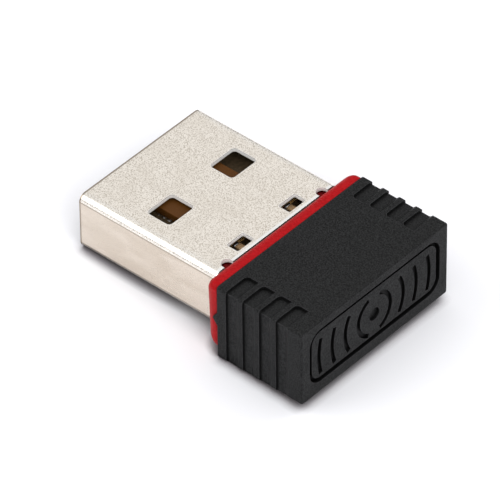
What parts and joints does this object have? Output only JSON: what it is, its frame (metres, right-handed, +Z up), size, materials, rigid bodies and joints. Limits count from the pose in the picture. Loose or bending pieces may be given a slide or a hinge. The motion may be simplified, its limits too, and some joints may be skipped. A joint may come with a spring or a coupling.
{
  "type": "usb wifi adapter",
  "caption": "Nano wireless network adapter: a metal USB-A plug with latch windows, a red bezel and a short black end cover with grip ribs and a recessed rear face.",
  "frame": {"origin": "bottom centre of the whole adapter's box: under its middle, on the flat underside of the end cover", "axes": "+X from the plug's mouth towards the end cover's rear face, +Z up and square to the plug's wide faces, +Y across the plug"},
  "size_m": [0.0204, 0.0146, 0.006],
  "materials": {
    "shell_steel": "matte nickel plate over folded steel",
    "bezel_plastic": "satin moulded red ABS",
    "cover_plastic": "finely textured black ABS",
    "tray_plastic": "black liquid-crystal polymer",
    "board_laminate": "dark solder mask over glass epoxy",
    "gold": "gold flash over nickel",
    "copper": "copper foil under solder mask",
    "solder": "satin tin",
    "chip_epoxy": "dark brown moulding compound",
    "ceramic_white": "matte alumina",
    "capacitor_ceramic": "tan barium titanate ceramic",
    "resistor_film": "black overglaze",
    "ferrite": "dark grey ferrite",
    "lid_metal": "plated metal lid",
    "package_epoxy": "black moulding compound"
  },
  "bodies": {
    "root": {"plug_shell": "shell_steel", "bezel": "bezel_plastic", "end_cover": "cover_plastic", "circuit_board": "board_laminate", "board_tray": "tray_plastic", "contact_vbus": "gold", "contact_data_minus": "gold", "contact_data_plus": "gold", "contact_ground": "gold", "wifi_chip": "chip_epoxy", "wifi_chip_leads": "solder", "crystal_base": "ceramic_white", "crystal_lid": "lid_metal", "regulator": "package_epoxy", "regulator_leads": "solder", "antenna_trace": "copper", "ground_strip": "gold", "test_pads": "gold", "shell_solder_joints": "solder", "capacitors": "capacitor_ceramic", "capacitor_ends": "solder", "resistors": "resistor_film", "resistor_ends": "solder", "rf_filter": "ceramic_white", "rf_filter_ends": "solder", "power_inductor": "ferrite", "power_inductor_ends": "solder"}
  },
  "joints": []
}
